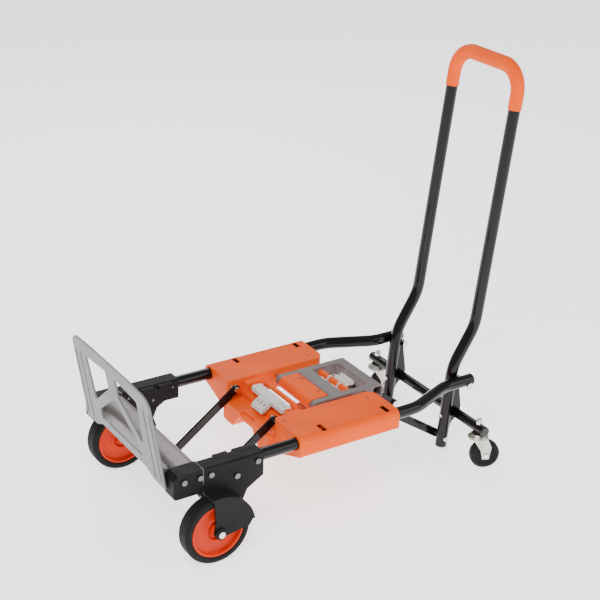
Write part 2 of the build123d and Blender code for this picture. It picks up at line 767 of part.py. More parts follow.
# --- rear struts --------------------------------------------------------------------------------------------------------------------------
def strut(s):
    pin = (strut_pin_x, strut_pin_z)
    body = flat_link(strut_low, pin, s * strut_y, strut_width, strut_t, strut_pin_r + running_gap)
    return body


for side, s in SIDES.items():
    parts[f"strut_{side}"] = strut(s)


# --- handle and legs: one bent tube --------------------------------------------------------------------------------------------------------
def handle_points():
    near = [
        (leg_foot_x, -leg_y, leg_foot_z),
        (leg_bend_low[0], -leg_y, leg_bend_low[1]),
        (leg_bend_high[0], -leg_y, leg_bend_high[1]),
        (handle_top_x, -leg_y, handle_top_z),
    ]
    return near + [(x, -y, z) for x, y, z in reversed(near)]


def leg_x(z):
    """The leg's centre line at a height below its lower bend."""
    return leg_foot_x + (z - leg_foot_z) * leg_low_tan


def handle_tube():
    radii = [leg_bend_r, leg_bend_r, handle_corner_r, handle_corner_r, leg_bend_r, leg_bend_r]
    body = pipe(handle_points(), radii, tube_r, tube_wall)
    for s in SIDES.values():
        body -= along_y(strut_low[0], strut_low[1], (s * (leg_y - 20), s * (leg_y + 20)), strut_pin_r + slip_gap)
        body -= along_x(s * leg_y, caster_bar_z, (leg_foot_x - 20, caster_bar_x), bolt_hole_r)
    return body


def handle_grip():
    lean = tan(radians(handle_lean))
    x0 = handle_top_x - (handle_top_z - grip_start_z) * lean
    points = [
        (x0, -leg_y, grip_start_z),
        (handle_top_x, -leg_y, handle_top_z),
        (handle_top_x, leg_y, handle_top_z),
        (x0, leg_y, grip_start_z),
    ]
    path = FilletPolyline(*points, radius=handle_corner_r)
    ring = Circle(tube_r + slip_gap + grip_wall) - Circle(tube_r + slip_gap)
    return sweep(Plane(origin=path @ 0, z_dir=path % 0) * ring, path=path)


parts["handle_tube"] = handle_tube()
parts["handle_grip"] = handle_grip()


def foot_plug(s):
    """The plug in the foot of a leg."""
    direction = Vector(leg_low_tan, 0, 1).normalized()
    plane = Plane(origin=(leg_foot_x, s * leg_y, leg_foot_z), z_dir=direction)
    lip = extrude(plane.offset(-3.0) * Circle(tube_r), 3.0)
    return lip + extrude(plane * Circle(tube_r - tube_wall), 8.0)


parts["foot_plugs"] = solids_of(*[foot_plug(s) for s in SIDES.values()])


def gusset(s):
    """The plate from a leg back to the pivot bush and the caster bar."""
    top_z = pivot_z + bush_r - 1.0
    face = tube_r + 0.4
    outline = [
        (leg_x(top_z) + face, top_z),
        (pivot_x + bush_r - 2.0, top_z),
        (pivot_x + bush_r - 4.0, pivot_z - 12.0),
        (caster_bar_x + caster_bar_r + 4.0, caster_bar_z + 14.0),
        (caster_bar_x + caster_bar_r + 4.0, caster_bar_z - 4.0),
        (caster_bar_x - 8.0, caster_bar_z - caster_bar_r - 12.0),
        (leg_x(62.0) + face, 62.0),
    ]
    plate = plate_xz(outline, s * leg_y, gusset_t)
    outer = rail_rear_y - tube_r - side_gap
    bush = along_y(pivot_x, pivot_z, (s * (leg_y - 9.0), s * outer), bush_r)
    body = plate + bush
    body -= along_y(pivot_x, pivot_z, (s * 80, s * 150), pivot_r + running_gap)
    body -= along_x(s * leg_y, caster_bar_z, (leg_foot_x, caster_bar_x), bolt_hole_r)
    return body - along_y(caster_bar_x, caster_bar_z, (s * 80, s * 150), caster_bar_r)


for side, s in SIDES.items():
    parts[f"gusset_{side}"] = gusset(s)


def pivot_bolt(s):
    outer = rail_rear_y + tube_r
    inner = leg_y - 9.0 - side_gap
    bolt = bolt_y(pivot_x, pivot_z, s * outer, s * inner, pivot_r, 7.5, 4.5)
    return bolt + along_y(pivot_x, pivot_z, (s * inner, s * (inner - 5.0)), 7.0)


parts["pivot_bolts"] = solids_of(*[pivot_bolt(s) for s in SIDES.values()])


def strut_pin(s):
    outer = leg_y + tube_r
    inner = strut_y - strut_t / 2 - 3.0
    bolt = bolt_y(strut_low[0], strut_low[1], s * outer, s * inner, strut_pin_r, 6.0, 4.0)
    return bolt + along_y(strut_low[0], strut_low[1], (s * inner, s * (inner - 4.0)), 6.5)


parts["strut_pins"] = solids_of(*[strut_pin(s) for s in SIDES.values()])


def bar_bolt(s):
    front = leg_x(caster_bar_z) - tube_r - 0.5
    rear = caster_bar_x - caster_bar_r
    shank = along_x(s * leg_y, caster_bar_z, (front, rear), 3.0)
    return shank + along_x(s * leg_y, caster_bar_z, (front - 4.0, front), 6.0)


parts["bar_bolts"] = solids_of(*[bar_bolt(s) for s in SIDES.values()])


# --- caster bar and casters ---------------------------------------------------------------------------------------------------------------
def caster_bar():
    end = caster_bar_half - 3.0
    body = along_y(caster_bar_x, caster_bar_z, (-end, end), caster_bar_r)
    body -= along_y(caster_bar_x, caster_bar_z, (-end - 1, end + 1), caster_bar_r - tube_wall)
    for s in SIDES.values():
        body -= along_z(caster_bar_x, s * caster_y, (caster_bar_z - 30, caster_bar_z + 30), caster_stem_r)
    return body


def bar_cap(s):
    y = s * (caster_bar_half - 3.0)
    lip = along_y(caster_bar_x, caster_bar_z, (y, y + s * 4.0), caster_bar_r)
    lip = fillet(lip.faces().sort_by(Axis.Y)[-1 if s > 0 else 0].edges(), 2.5)
    return lip + along_y(caster_bar_x, caster_bar_z, (y, y - s * 5.0), caster_bar_r - tube_wall)


parts["caster_bar"] = caster_bar()
parts["caster_bar_caps"] = solids_of(*[bar_cap(s) for s in SIDES.values()])


def caster_race(s):
    """The upper half of the swivel bearing, fixed under the bar."""
    z = (race_top_z - 8.0, race_top_z)
    cup = Cone(race_r, race_r - 9.0, 8.0)
    cup = Pos(caster_bar_x, s * caster_y, (z[0] + z[1]) / 2) * cup
    return cup - along_z(caster_bar_x, s * caster_y, (z[0] - 1, z[1] + 1), caster_stem_r + slip_gap)


def caster_stem(s):
    """The stem bolt, with its low head inside the fork and a dome nut on the bar."""
    x, y = caster_bar_x, s * caster_y
    head_z = crown_z - crown_t - 0.6
    top = caster_bar_z + caster_bar_r
    head = along_z(x, y, (head_z - 2.6, head_z), 8.0)
    stem = along_z(x, y, (head_z, top + 0.5), caster_stem_r)
    nut = Pos(x, y, top + 0.5) * extrude(RegularPolygon(9.0, 6), 7.0)
    dome = Pos(x, y, top + 7.5) * Sphere(7.2) & box((x - 20, x + 20), (y - 20, y + 20), (top + 7.5, top + 30))
    return head + stem + nut + dome


def caster_fork(side):
    s = SIDES[side]
    inner = caster_wheel_width / 2 + 1.5
    sheet = 2.5
    crown = Pos(0, 0, crown_z - crown_t) * Cylinder(race_r - 1.0, crown_t, align=BASE)
    cup = Pos(0, 0, crown_z) * Cone(race_r, race_r - 2.0, 0.8, align=BASE)
    body = crown + cup
    outline = [
        (-16.0, crown_z),
        (20.0, crown_z),
        (caster_trail + 13.0, axle_z + 22.0),
        (caster_trail + 8.0, axle_z - 9.0),
        (caster_trail - 8.0, axle_z - 9.0),
        (caster_trail - 13.0, axle_z + 14.0),
    ]
    for way in (-1, 1):
        leg = plate_xz(outline, way * (inner + sheet / 2), sheet)
        body += leg
    body -= Pos(0, 0, crown_z - 20) * Cylinder(caster_stem_r + running_gap, 60)
    body -= along_y(caster_trail, axle_z, (-40, 40), caster_axle_r)
    return Pos(caster_bar_x, s * caster_y, 0) * Rot(0, 0, caster_turn[side]) * body


def caster_wheel(side):
    s = SIDES[side]
    w = caster_wheel_width
    body = along_y(caster_trail, axle_z, (-w / 2, w / 2), caster_wheel_r)
    body = fillet(body.edges().filter_by(GeomType.CIRCLE), 5.0)
    for way in (-1, 1):
        dish = along_y(caster_trail, axle_z, (way * (w / 2 - 3.0), way * (w / 2 + 1.0)), 24.0)
        body -= dish - along_y(caster_trail, axle_z, (way * (w / 2 - 3.0), way * (w / 2 + 1.0)), 9.0)
    body -= along_y(caster_trail, axle_z, (-w, w), caster_axle_r + running_gap)
    return Pos(caster_bar_x, s * caster_y, 0) * Rot(0, 0, caster_turn[side]) * body


def caster_axle(side):
    s = SIDES[side]
    half = caster_wheel_width / 2 + 1.5 + 2.5
    pin = along_y(caster_trail, axle_z, (-half, half), caster_axle_r)
    pin += along_y(caster_trail, axle_z, (half, half + 3.0), 6.5)
    pin += along_y(caster_trail, axle_z, (-half - 3.0, -half), 6.5)
    return Pos(caster_bar_x, s * caster_y, 0) * Rot(0, 0, caster_turn[side]) * pin


parts["caster_races"] = solids_of(*[caster_race(s) for s in SIDES.values()])
parts["caster_stems"] = solids_of(*[caster_stem(s) for s in SIDES.values()])
for side in SIDES:
    parts[f"caster_fork_{side}"] = caster_fork(side)
    parts[f"caster_wheel_{side}"] = caster_wheel(side)
    parts[f"caster_axle_{side}"] = caster_axle(side)


# --- front wheels ---------------------------------------------------------------------------------------------------------------------------
def front_tyre(s):
    w = front_wheel_width
    y = (s * front_wheel_y - w / 2, s * front_wheel_y + w / 2)
    body = along_y(0, front_wheel_r, y, front_wheel_r)
    body = fillet(body.edges().filter_by(GeomType.CIRCLE), 7.0)
    return body - along_y(0, front_wheel_r, (y[0] - 1, y[1] + 1), front_wheel_r - tyre_depth)


def front_hub(s):
    """A moulded hub: a rim, a dished web with a ring, and a boss."""
    w = front_wheel_width - 3.0
    r = front_wheel_r - tyre_depth
    body = along_y(0, 0, (-w / 2, w / 2), r)
    for way in (-1, 1):
        face = way * w / 2
        groove = along_y(0, 0, (face - way * 9.0, face + way), r - 5.0)
        groove -= along_y(0, 0, (face - way * 9.0, face + way), 27.0)
        inner = along_y(0, 0, (face - way * 12.0, face + way), 23.0)
        inner -= along_y(0, 0, (face - way * 12.0, face + way), front_hub_boss_r)
        lowered = along_y(0, 0, (face - way * 5.0, face + way), 27.0)
        lowered -= along_y(0, 0, (face - way * 5.0, face + way), 23.0)
        body = body - groove - inner - lowered
    body -= along_y(0, 0, (-w, w), front_axle_r + running_gap)
    return Pos(0, s * front_wheel_y, front_wheel_r) * body


def front_axle(s):
    inner = front_wheel_y - front_wheel_width / 2 - 1.0
    outer = cover_y + cover_plate + 4.0
    shank = bolt_y(0, front_wheel_r, s * outer, s * inner, front_axle_r, 7.5, 4.5)
    return shank + along_y(0, front_wheel_r, (s * inner, s * (inner - 6.0)), 8.0)


for side, s in SIDES.items():
    parts[f"front_tyre_{side}"] = front_tyre(s)
    parts[f"front_hub_{side}"] = front_hub(s)
parts["front_axles"] = solids_of(*[front_axle(s) for s in SIDES.values()])


# --- toe plate --------------------------------------------------------------------------------------------------------------------------------
def toe_outline():
    w, h, foot = toe_half_width, toe_height, 16.0
    points = [(-w, 0), (-w + 50.0, 0), (-w + 84.0, foot), (w - 84.0, foot), (w - 50.0, 0), (w, 0),
              (w - 4.0, h - 6.0), (w * 0.5, h), (-w * 0.5, h), (-w + 4.0, h - 6.0)]
    sheet = make_face(Polyline(*points, close=True))
    corners = sheet.vertices().group_by(Axis.Y)[-2]
    return fillet(corners, toe_corner_r)


def toe_windows():
    """Two upper side windows and one wide lower window, round an upside-down Y of ribs."""
    h = toe_height
    lean = toe_rib / 2
    outer = toe_window_outer
    for s in SIDES.values():
        side_window = [
            (s * toe_stem_half, h - 30.0),
            (s * outer, h - 38.0),
            (s * (outer - 8.0), 76.0),
            (s * toe_stem_half, 150.0),
        ]
        yield fillet(make_face(Polyline(*side_window, close=True)).vertices(), 6.0)
    foot = 38.0
    lower = [(-outer + 24.0, foot), (outer - 24.0, foot), (outer - 26.0, 62.0), (0, 138.0 - lean / 2),
             (-outer + 26.0, 62.0)]
    yield fillet(make_face(Polyline(*lower, close=True)).vertices(), 6.0)


def toe_plate():
    sheet = toe_outline()
    for window in toe_windows():
        sheet -= window
    body = extrude(sheet, toe_thickness)
    for s in SIDES.values():
        for y in (toe_half_width - 38.0, toe_half_width - 12.0):
            body -= Pos(s * y, 0, 0) * box((-2.5, 2.5), (14.0, toe_height - 42.0), (toe_thickness - 1.5, 9))
    plane = Plane(
        origin=(toe_foot_x + toe_thickness, 0, toe_foot_z),
        x_dir=(0, -1, 0),
        z_dir=(-cos(radians(toe_lean)), 0, -sin(radians(toe_lean))),
    )
    body = plane * body
    lean = tan(radians(toe_lean))
    for s in SIDES.values():
        y = (s * (toe_ear_y - 4.0), s * (toe_ear_y + 4.0))
        knuckle = along_y(toe_axis_x, toe_axis_z, y, 9.0)
        arm = plate_xz(
            [
                (toe_axis_x, toe_axis_z - 9.0),
                (toe_axis_x, toe_axis_z + 9.0),
                (toe_foot_x + toe_thickness - (toe_axis_z + 13.0 - toe_foot_z) * lean, toe_axis_z + 13.0),
                (toe_foot_x + toe_thickness - (toe_axis_z - 13.0 - toe_foot_z) * lean, toe_axis_z - 13.0),
            ],
            s * toe_ear_y,
            8.0,
        )
        body += knuckle + arm
    for s in SIDES.values():
        body -= along_y(toe_axis_x, toe_axis_z, (s * (toe_ear_y - 10), s * (toe_ear_y + 10)),
                        toe_pin_r + running_gap)
    return body


def toe_pin(s):
    return along_y(toe_axis_x, toe_axis_z, (s * (toe_ear_y - 6.0), s * (inner_face_y + 5.0)), toe_pin_r)


parts["toe_plate"] = toe_plate()
parts["toe_hinge_pins"] = solids_of(*[toe_pin(s) for s in SIDES.values()])


# --- move the whole cart over its origin and write it ------------------------------------------------------------------------------------------
def origin_shift():
    boxes = [shape.bounding_box() for shape in parts.values()]
    return -(min(b.min.X for b in boxes) + max(b.max.X for b in boxes)) / 2


shift_x = origin_shift()
os.makedirs("parts", exist_ok=True)
for name, shape in parts.items():
    export_step(Pos(shift_x, 0, 0) * shape, f"parts/{name}.step")
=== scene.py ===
# %% [markdown]
# # Folding platform cart
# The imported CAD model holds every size, place and joint of the cart. This script dresses that frame:
# it gives each part its finish, replaces the plain shapes of the wheels, the grip and the casters with
# detailed surfaces, and sets up a pale floor, soft light and a camera.

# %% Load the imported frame
import json
import math

import bpy
import numpy as np
from mathutils import Matrix, Vector


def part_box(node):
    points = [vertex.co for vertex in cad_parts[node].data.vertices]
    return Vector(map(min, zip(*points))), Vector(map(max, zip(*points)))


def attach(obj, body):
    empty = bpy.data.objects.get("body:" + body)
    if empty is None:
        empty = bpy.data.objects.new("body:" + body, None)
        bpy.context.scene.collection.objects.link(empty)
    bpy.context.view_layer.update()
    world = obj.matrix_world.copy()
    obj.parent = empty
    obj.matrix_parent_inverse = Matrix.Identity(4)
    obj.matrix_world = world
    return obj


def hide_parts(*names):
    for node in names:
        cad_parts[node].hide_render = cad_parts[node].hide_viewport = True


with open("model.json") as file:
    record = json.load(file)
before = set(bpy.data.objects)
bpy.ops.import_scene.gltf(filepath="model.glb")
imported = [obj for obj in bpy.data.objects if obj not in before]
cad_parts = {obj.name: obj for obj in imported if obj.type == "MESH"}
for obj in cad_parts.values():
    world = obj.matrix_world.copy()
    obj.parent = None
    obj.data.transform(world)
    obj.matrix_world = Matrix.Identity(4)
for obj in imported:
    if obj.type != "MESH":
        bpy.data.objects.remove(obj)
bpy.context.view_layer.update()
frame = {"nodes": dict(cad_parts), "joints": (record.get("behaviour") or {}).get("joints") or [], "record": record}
nodes = frame["nodes"]

# %% [markdown]
# ## Landmarks
# Every place is read from the frame. The front axle is the middle of a front hub, and the sizes that
# the surfaces need, such as wheel radii, are half the extents of the CAD nodes' boxes; the tube radius is given as
# a number.

# %% Landmarks
def middle(node):
    """The centre of a node's box."""
    low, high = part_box(node)
    return (low + high) / 2


axle_x = middle("front_hub_left").x
SIDES = ("left", "right")
print("front axle at x =", round(axle_x, 4))

# %% [markdown]
# ## Finishes
# A moulded or painted surface is never one even colour. Each finish here mixes three things from the
# object's own coordinates: a slow cloudy change of tone, a fine grain that feeds the bump, and a thin
# pale line where the bevelled normal leaves the true one, which is partly the wear of handling on an
# edge and partly a painted highlight where an edge catches the light.

# %% Helpers for finishes
def new_finish(name, metallic=0.0, coat=0.0, coat_roughness=0.1, specular=0.5, sheen=0.0):
    """An empty material with its shader's even values set, and its node tree."""
    material = bpy.data.materials.new(name)
    material.use_nodes = True
    tree = material.node_tree
    shader = tree.nodes["Principled BSDF"]
    shader.inputs["Metallic"].default_value = metallic
    shader.inputs["Coat Weight"].default_value = coat
    shader.inputs["Coat Roughness"].default_value = coat_roughness
    shader.inputs["Specular IOR Level"].default_value = specular
    shader.inputs["Sheen Weight"].default_value = sheen
    return material, tree, shader


def noise(tree, place, scale, detail=3.0, roughness=0.55):
    """Noise over the given coordinates; scale is in blobs per metre."""
    node = tree.nodes.new("ShaderNodeTexNoise")
    node.inputs["Scale"].default_value = scale
    node.inputs["Detail"].default_value = detail
    node.inputs["Roughness"].default_value = roughness
    tree.links.new(place, node.inputs["Vector"])
    return node.outputs["Fac"]


def remap(tree, value, low, high, to_low, to_high):
    """Carries low..high to to_low..to_high along a straight line, and holds the ends."""
    node = tree.nodes.new("ShaderNodeMapRange")
    for socket, number in zip(("From Min", "From Max", "To Min", "To Max"), (low, high, to_low, to_high)):
        node.inputs[socket].default_value = number
    tree.links.new(value, node.inputs["Value"])
    return node.outputs["Result"]


def blend_colour(tree, factor, first, second):
    """Mixes from first to second by factor. Each may be a colour or another node's output."""
    node = tree.nodes.new("ShaderNodeMix")
    node.data_type = "RGBA"
    tree.links.new(factor, node.inputs["Factor"])
    for socket, colour in ((node.inputs[6], first), (node.inputs[7], second)):
        if isinstance(colour, bpy.types.NodeSocket):
            tree.links.new(colour, socket)
        else:
            socket.default_value = (*colour, 1.0)
    return node.outputs[2]


def edge_line(tree, radius):
    """1 on a convex or concave edge and 0 on the flats: one minus the dot product of two normals."""
    bevel = tree.nodes.new("ShaderNodeBevel")
    bevel.samples = 4
    bevel.inputs["Radius"].default_value = radius
    surface = tree.nodes.new("ShaderNodeNewGeometry")
    dot = tree.nodes.new("ShaderNodeVectorMath")
    dot.operation = "DOT_PRODUCT"
    tree.links.new(bevel.outputs["Normal"], dot.inputs[0])
    tree.links.new(surface.outputs["Normal"], dot.inputs[1])
    return remap(tree, dot.outputs["Value"], 0.995, 0.88, 0.0, 1.0), bevel.outputs["Normal"]


def surface_finish(name, light, dark, rough, grain, bump, cloud=9.0, edge=None, edge_amount=0.5,
                   edge_radius=0.0012, **shader_values):
    """A painted or moulded finish.

    Colour: dark to light by a cloudy noise of `cloud` blobs per metre, then towards `edge` on edges (part wear,
    part painted highlight).
    Roughness: from rough[0] to rough[1] by a second noise. Bump: fine grain of `grain` blobs per metre.
    """
    material, tree, shader = new_finish(name, **shader_values)
    place = tree.nodes.new("ShaderNodeTexCoord").outputs["Object"]
    cloudy = remap(tree, noise(tree, place, cloud, 4.0), 0.35, 0.65, 0.0, 1.0)
    colour = blend_colour(tree, cloudy, dark, light)
    edge_wear_and_highlight, rounded = edge_line(tree, edge_radius)
    # The edge line mixes in the `edge` colour: paler on most finishes, part wear and part painted highlight where
    # an edge catches the light.
    if edge is not None:
        patchy = noise(tree, place, 160.0, 2.0)
        scaled = tree.nodes.new("ShaderNodeMath")
        scaled.operation = "MULTIPLY"
        tree.links.new(edge_wear_and_highlight, scaled.inputs[0])
        tree.links.new(remap(tree, patchy, 0.3, 0.7, 0.3 * edge_amount, edge_amount), scaled.inputs[1])
        colour = blend_colour(tree, scaled.outputs[0], colour, edge)
    tree.links.new(colour, shader.inputs["Base Color"])
    smears = noise(tree, place, 35.0, 5.0, 0.7)
    tree.links.new(remap(tree, smears, 0.3, 0.7, rough[0], rough[1]), shader.inputs["Roughness"])
    lumps = tree.nodes.new("ShaderNodeBump")
    lumps.inputs["Strength"].default_value = bump
    lumps.inputs["Distance"].default_value = 0.0004
    tree.links.new(noise(tree, place, grain, 2.0), lumps.inputs["Height"])
    tree.links.new(rounded, lumps.inputs["Normal"])
    tree.links.new(lumps.outputs["Normal"], shader.inputs["Normal"])
    return material


print("helpers ready")

# %% Finishes of the cart
# Each `edge` colour below is the colour of the edge line. On most finishes it is paler than the body, part wear
# and part painted highlight; on the grey plate it is darker.
finishes = {
    "tube_black": surface_finish(
        "gloss_powder_coat", (0.005, 0.005, 0.005), (0.003, 0.003, 0.003), (0.12, 0.22), 700.0, 0.08,
        coat=0.30, coat_roughness=0.04, specular=0.12),
    "orange_shell": surface_finish(
        "orange_moulding", (0.95, 0.105, 0.0), (0.85, 0.085, 0.0), (0.40, 0.54), 1500.0, 0.30,
        edge=(0.95, 0.20, 0.02), edge_amount=0.15, specular=0.12),
    "bracket_black": surface_finish(
        "black_moulding", (0.011, 0.011, 0.011), (0.007, 0.007, 0.007), (0.45, 0.60), 1300.0, 0.35,
        edge=(0.03, 0.03, 0.03), specular=0.12),
    "lever_grey": surface_finish(
        "warm_grey_moulding", (0.185, 0.165, 0.158), (0.140, 0.124, 0.118), (0.46, 0.62), 1200.0, 0.35,
        edge=(0.30, 0.28, 0.27)),
    "plate_grey": surface_finish(
        "grey_paint", (0.165, 0.170, 0.168), (0.135, 0.140, 0.138), (0.34, 0.48), 900.0, 0.18,
        edge=(0.05, 0.05, 0.05), edge_amount=0.8),
    "channel_grey": surface_finish(
        "warm_grey_paint", (0.235, 0.205, 0.198), (0.200, 0.174, 0.168), (0.36, 0.50), 900.0, 0.18,
        edge=(0.50, 0.45, 0.43)),
    "grip_orange": surface_finish(
        "soft_grip", (0.95, 0.105, 0.0), (0.85, 0.085, 0.0), (0.50, 0.64), 1700.0, 0.40, specular=0.12),
    "hub_red": surface_finish(
        "red_moulding", (0.66, 0.030, 0.002), (0.56, 0.023, 0.001), (0.36, 0.50), 1300.0, 0.22,
        edge=(0.80, 0.12, 0.04), specular=0.15),
    "tyre_black": surface_finish(
        "tyre_rubber", (0.012, 0.012, 0.012), (0.008, 0.008, 0.008), (0.55, 0.72), 1100.0, 0.50,
        specular=0.12),
    "caster_rubber": surface_finish(
        "caster_rubber", (0.012, 0.012, 0.012), (0.008, 0.008, 0.008), (0.45, 0.60), 1100.0, 0.35,
        specular=0.12),
    "off_white": surface_finish(
        "off_white_moulding", (0.66, 0.64, 0.60), (0.58, 0.56, 0.52), (0.36, 0.50), 1300.0, 0.20,
        edge=(0.80, 0.78, 0.74)),
    "cap_black": surface_finish(
        "cap_moulding", (0.022, 0.022, 0.023), (0.014, 0.014, 0.015), (0.38, 0.52), 1400.0, 0.30,
        edge=(0.10, 0.10, 0.10)),
    "bright_steel": surface_finish(
        "bright_plating", (0.78, 0.78, 0.77), (0.66, 0.66, 0.66), (0.14, 0.28), 500.0, 0.08,
        cloud=60.0, metallic=1.0),
    "cover_screw": surface_finish(
        "orange_screw_paint", (0.42, 0.060, 0.010), (0.30, 0.040, 0.007), (0.40, 0.55), 900.0, 0.20),
    "dark_bolt": surface_finish(
        "dark_plating", (0.20, 0.20, 0.20), (0.13, 0.13, 0.13), (0.30, 0.45), 500.0, 0.10,
        cloud=60.0, metallic=1.0),
    "plated_steel": surface_finish(
        "zinc_plating", (0.62, 0.59, 0.53), (0.48, 0.45, 0.40), (0.26, 0.42), 600.0, 0.12,
        cloud=45.0, metallic=1.0),
}
print("finishes:", ", ".join(sorted(finishes)))

# %% Paint every CAD node by its slot
special_finish = {
    "cover_screws": "cover_screw", "bracket_bolts": "dark_bolt", "sleeve_bands": "dark_bolt",
}
slot_of = {part["node"]: part["material_slot"] for part in frame["record"]["subparts"]}
for name, node in nodes.items():
    node.data.materials.clear()
    node.data.materials.append(finishes[special_finish.get(name, slot_of[name])])
print("painted", len(nodes), "nodes")

# %% [markdown]
# ## Turned and swept surfaces
# A wheel is a profile turned about its axle, and a sleeve is a ring carried along a bent tube. Both are
# one grid of points: one parameter runs round, the other along the profile or the path. Working the
# grid out as whole arrays keeps the formula in view, where a lathe modifier or a spun curve hides it.

# %% Grid surfaces
def grid_faces(rows, columns, wrap_rows):
    """Quads of a grid whose columns join up, and whose rows join up too if wrap_rows is true."""
    last = rows if wrap_rows else rows - 1
    row, column = np.meshgrid(np.arange(last), np.arange(columns), indexing="ij")
    below, beside = (row + 1) % rows, (column + 1) % columns
    corners = (row * columns + column, row * columns + beside,
               below * columns + beside, below * columns + column)
    return np.stack(corners, axis=-1).reshape(-1, 4)


def outward(points, faces):
    """True if the closed surface's quads face out: the sum of centre dot area is positive."""
    a, b, c, d = (points[faces[:, i]] for i in range(4))
    middle = points.mean(axis=0)
    return float(np.sum((a + b + c + d - 4 * middle) * np.cross(c - a, d - b))) > 0


def surface_piece(name, points, faces, finish, body):
    """A smooth mesh from points and quads, with its finish, that rides on a body of the frame."""
    if not outward(points, faces):
        faces = faces[:, ::-1]
    mesh = bpy.data.meshes.new(name)
    mesh.from_pydata(points.tolist(), [], faces.tolist())
    mesh.shade_smooth()
    mesh.materials.append(finishes[finish])
    piece = bpy.data.objects.new(name, mesh)
    bpy.context.scene.collection.objects.link(piece)
    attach(piece, body)
    print(name, len(points), "points")
    return piece


def turned(profile, centre, axle_turn, steps):
    """A closed profile of (across, radius) pairs turned about an axle.

    Point = centre + across * axle + radius * (cos a * front + sin a * up). axle_turn is the axle's angle
    about the vertical.
    """
    across, radius = (np.asarray(profile)[:, i][:, None] for i in range(2))
    angle = np.linspace(0.0, 2 * np.pi, steps, endpoint=False)[None, :]
    radius = radius + 0.0 * angle
    side = np.array([-math.sin(axle_turn), math.cos(axle_turn), 0.0])
    front = np.array([math.cos(axle_turn), math.sin(axle_turn), 0.0])
    up = np.array([0.0, 0.0, 1.0])
    points = (np.asarray(centre) + (across + 0.0 * angle)[..., None] * side
              + (radius * np.cos(angle))[..., None] * front + (radius * np.sin(angle))[..., None] * up)
    return points.reshape(-1, 3), grid_faces(len(profile), steps, True)


def eased(corners, reach, arc_steps=5):
    """A closed outline with its corners eased: each becomes a quadratic curve that starts and ends
    `reach` from the corner, or 0.45 of the shorter side if that is less."""
    corners = np.asarray(corners, dtype=float)
    before, after = np.roll(corners, 1, axis=0), np.roll(corners, -1, axis=0)
    back, ahead = before - corners, after - corners
    long_back = np.linalg.norm(back, axis=1, keepdims=True)
    long_ahead = np.linalg.norm(ahead, axis=1, keepdims=True)
    take = np.minimum(reach, 0.45 * np.minimum(long_back, long_ahead))
    start, end = corners + back / long_back * take, corners + ahead / long_ahead * take
    t = np.linspace(0.0, 1.0, arc_steps)[None, :, None]
    curve = (1 - t) ** 2 * start[:, None] + 2 * t * (1 - t) * corners[:, None] + t ** 2 * end[:, None]
    return curve.reshape(-1, 2)


print("grid helpers ready")

# %% [markdown]
# ## Front tyres and hubs
# The tyre is smooth solid rubber with rounded shoulders. The hub is a moulded disc with a raised rim, a
# sunken ring and a boss. Turning one outline for each gives the soft shoulders that a plain cylinder
# lacks.

# %% Front wheels
tyre_shoulder = 0.008
tyre_steps = 160
hub_steps = 96
hub_edge = 0.0012
hub_bore = 0.00505

for side in SIDES:
    tyre_low, tyre_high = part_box(f"front_tyre_{side}")
    hub_low, hub_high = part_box(f"front_hub_{side}")
    tyre_r = (tyre_high.z - tyre_low.z) / 2
    half = (tyre_high.y - tyre_low.y) / 2
    hub_r = (hub_high.z - hub_low.z) / 2
    hub_half = (hub_high.y - hub_low.y) / 2
    hub_at = tuple(middle(f"front_hub_{side}"))
    tyre_outline = [
        (-half, hub_r), (-half, tyre_r - 0.004), (-half + 0.004, tyre_r), (-half / 3, tyre_r),
        (half / 3, tyre_r), (half - 0.004, tyre_r), (half, tyre_r - 0.004), (half, hub_r),
    ]
    points, faces = turned(eased(tyre_outline, tyre_shoulder), hub_at, 0.0, tyre_steps)
    tyre = surface_piece(f"solid_tyre_{side}", points, faces, "tyre_black",
                         f"front_wheel_{side}")
    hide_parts(f"front_tyre_{side}")
    one_face = [
        (hub_half, hub_r), (hub_half, hub_r - 0.005), (hub_half - 0.009, hub_r - 0.007),
        (hub_half - 0.009, 0.030), (hub_half - 0.005, 0.027), (hub_half - 0.005, 0.023),
        (hub_half - 0.012, 0.021), (hub_half - 0.012, 0.016), (hub_half, 0.0145), (hub_half, hub_bore),
    ]
    hub_outline = one_face + [(-across, radius) for across, radius in reversed(one_face)]
    points, faces = turned(eased(hub_outline, hub_edge), hub_at, 0.0, hub_steps)
    hub = surface_piece(f"dished_hub_{side}", points, faces, "hub_red", f"front_wheel_{side}")
    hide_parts(f"front_hub_{side}")

# %% [markdown]
# ## Caster wheels
# A caster wheel is a soft tread on a plain core with a shallow dish each side. The wheel's axle stands
# at the angle its fork is turned to, and that angle comes from the axis of the wheel's own joint.

# %% Caster wheels
caster_half = 0.012
caster_bore = 0.00405
caster_edge = 0.003
caster_steps = 96
joints = {joint["name"]: joint for joint in frame["joints"]}
for side in SIDES:
    axis = joints[f"caster_spin_{side}"]["axis"]
    place = joints[f"caster_spin_{side}"]["pos_m"]
    axle_turn = math.atan2(-axis[0], axis[1])
    low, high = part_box(f"caster_wheel_{side}")
    wheel_r = (high.z - low.z) / 2
    one_face = [
        (caster_half, wheel_r - 0.006), (caster_half - 0.0005, 0.025), (caster_half - 0.003, 0.023),
        (caster_half - 0.003, 0.010), (caster_half, 0.0085), (caster_half, caster_bore),
    ]
    outline = [(0.0, wheel_r), (caster_half - 0.004, wheel_r)] + one_face
    outline += [(-across, radius) for across, radius in reversed(one_face)]
    outline += [(-caster_half + 0.004, wheel_r)]
    points, faces = turned(eased(outline, caster_edge), place, axle_turn, caster_steps)
    wheel = surface_piece(f"soft_caster_{side}", points, faces, "caster_rubber",
                          f"caster_wheel_{side}")
    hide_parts(f"caster_wheel_{side}")

